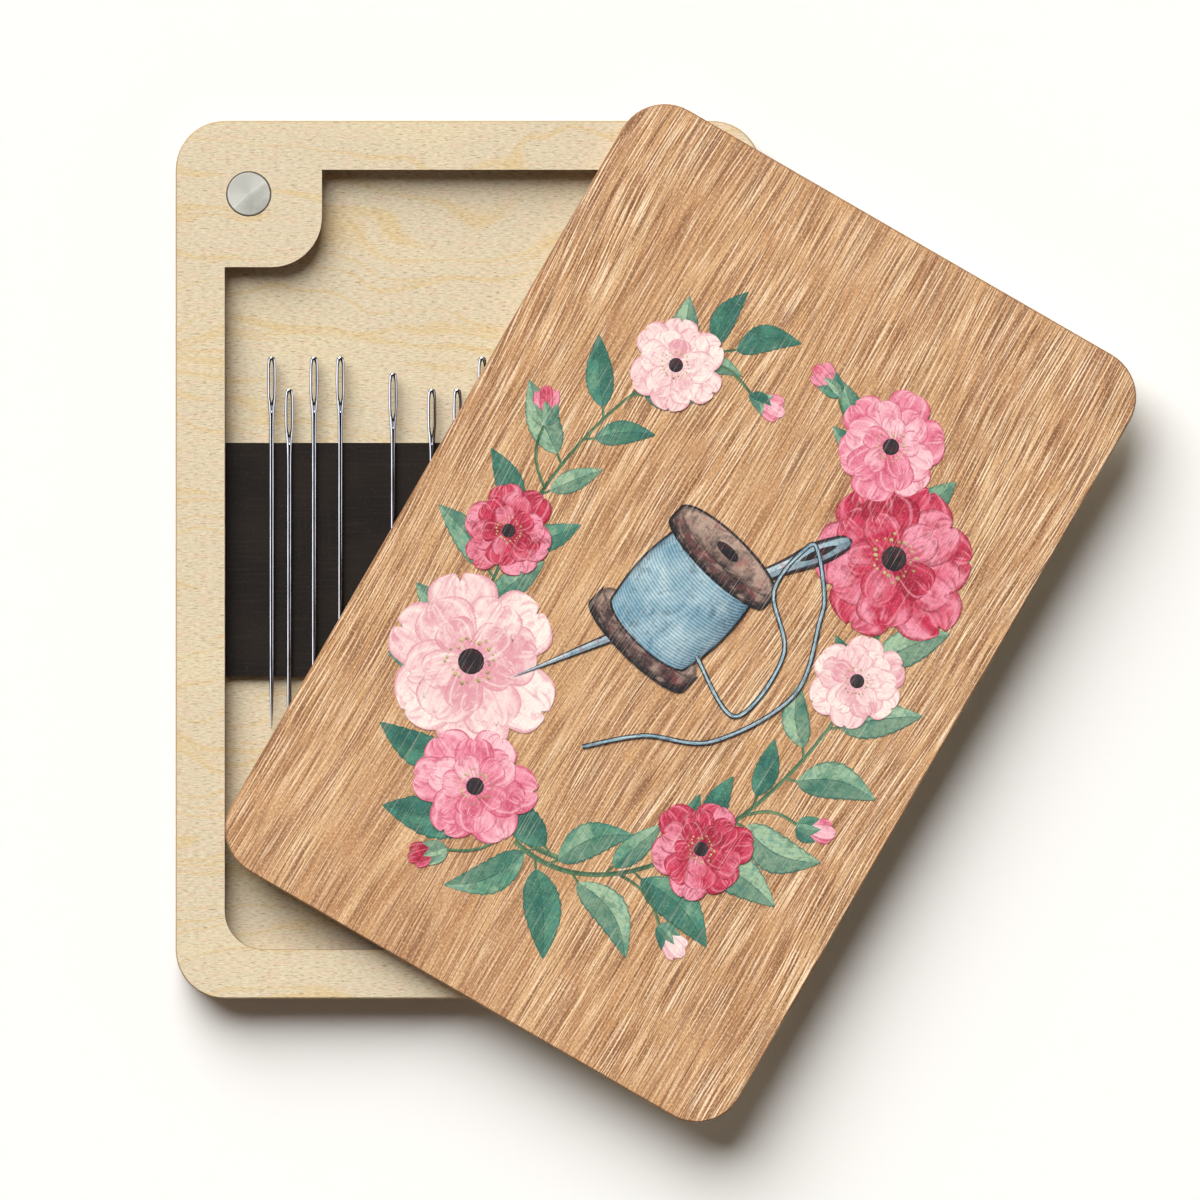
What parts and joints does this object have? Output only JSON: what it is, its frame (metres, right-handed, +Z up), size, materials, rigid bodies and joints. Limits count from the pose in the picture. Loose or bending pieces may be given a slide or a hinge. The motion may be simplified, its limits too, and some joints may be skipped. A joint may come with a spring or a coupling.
{
  "type": "needle case",
  "caption": "Flat wooden sewing needle case: plywood tray with a magnetic strip holding hand needles, disc magnets in diagonal ears, and a loose veneered lid laid askew.",
  "frame": {"origin": "centre of the tray's underside", "axes": "+X across the tray to the right, +Y along the tray towards the needles' eyes, +Z up out of the open tray"},
  "size_m": [0.1312, 0.139, 0.0091],
  "materials": {
    "birch_plywood": "satin",
    "oak_veneer": "satin",
    "lid_wood": "satin",
    "magnet_rubber": "matte",
    "adhesive_film": "matte",
    "nickel": "plated",
    "needle_steel": "polished"
  },
  "bodies": {
    "case": {"base_board": "birch_plywood", "rim_frame": "birch_plywood", "strip_adhesive": "adhesive_film", "magnetic_strip": "magnet_rubber", "case_magnet_left": "nickel", "case_magnet_right": "nickel"},
    "lid_pivot": {"lid_magnet_right": "nickel"},
    "lid": {"lid_core": "lid_wood", "lid_veneer": "oak_veneer", "lid_magnet_left": "nickel"},
    "needle_1": {"needle_1": "needle_steel"},
    "needle_2": {"needle_2": "needle_steel"},
    "needle_3": {"needle_3": "needle_steel"},
    "needle_4": {"needle_4": "needle_steel"},
    "needle_5": {"needle_5": "needle_steel"},
    "needle_6": {"needle_6": "needle_steel"},
    "needle_7": {"needle_7": "needle_steel"},
    "needle_8": {"needle_8": "needle_steel"},
    "needle_9": {"needle_9": "needle_steel"},
    "needle_10": {"needle_10": "needle_steel"},
    "needle_11": {"needle_11": "needle_steel"},
    "needle_12": {"needle_12": "needle_steel"}
  },
  "joints": [
    {"name": "lid_slide", "type": "slide", "parent": "case", "child": "lid_pivot", "axis": [0, 1, 0], "range_m": [-0.02, 0.0156]},
    {"name": "lid_turn", "type": "hinge", "parent": "lid_pivot", "child": "lid", "pos_m": [0.03, -0.0656, 0.00605], "axis": [0, 0, 1], "range_deg": [-10, 30]},
    {"name": "needle_1_slide", "type": "slide", "parent": "case", "child": "needle_1", "axis": [0, 1, 0], "range_m": [-0.0296, 0.0117]},
    {"name": "needle_2_slide", "type": "slide", "parent": "case", "child": "needle_2", "axis": [0, 1, 0], "range_m": [-0.0252, 0.0161]},
    {"name": "needle_3_slide", "type": "slide", "parent": "case", "child": "needle_3", "axis": [0, 1, 0], "range_m": [-0.0296, 0.0117]},
    {"name": "needle_4_slide", "type": "slide", "parent": "case", "child": "needle_4", "axis": [0, 1, 0], "range_m": [-0.0296, 0.025]},
    {"name": "needle_5_slide", "type": "slide", "parent": "case", "child": "needle_5", "axis": [0, 1, 0], "range_m": [-0.0274, 0.0272]},
    {"name": "needle_6_slide", "type": "slide", "parent": "case", "child": "needle_6", "axis": [0, 1, 0], "range_m": [-0.0252, 0.0294]},
    {"name": "needle_7_slide", "type": "slide", "parent": "case", "child": "needle_7", "axis": [0, 1, 0], "range_m": [-0.0252, 0.0294]},
    {"name": "needle_8_slide", "type": "slide", "parent": "case", "child": "needle_8", "axis": [0, 1, 0], "range_m": [-0.0296, 0.025]},
    {"name": "needle_9_slide", "type": "slide", "parent": "case", "child": "needle_9", "axis": [0, 1, 0], "range_m": [-0.0274, 0.0272]},
    {"name": "needle_10_slide", "type": "slide", "parent": "case", "child": "needle_10", "axis": [0, 1, 0], "range_m": [-0.0296, 0.025]},
    {"name": "needle_11_slide", "type": "slide", "parent": "case", "child": "needle_11", "axis": [0, 1, 0], "range_m": [-0.0252, 0.0294]},
    {"name": "needle_12_slide", "type": "slide", "parent": "case", "child": "needle_12", "axis": [0, 1, 0], "range_m": [-0.0163, 0.025]}
  ]
}
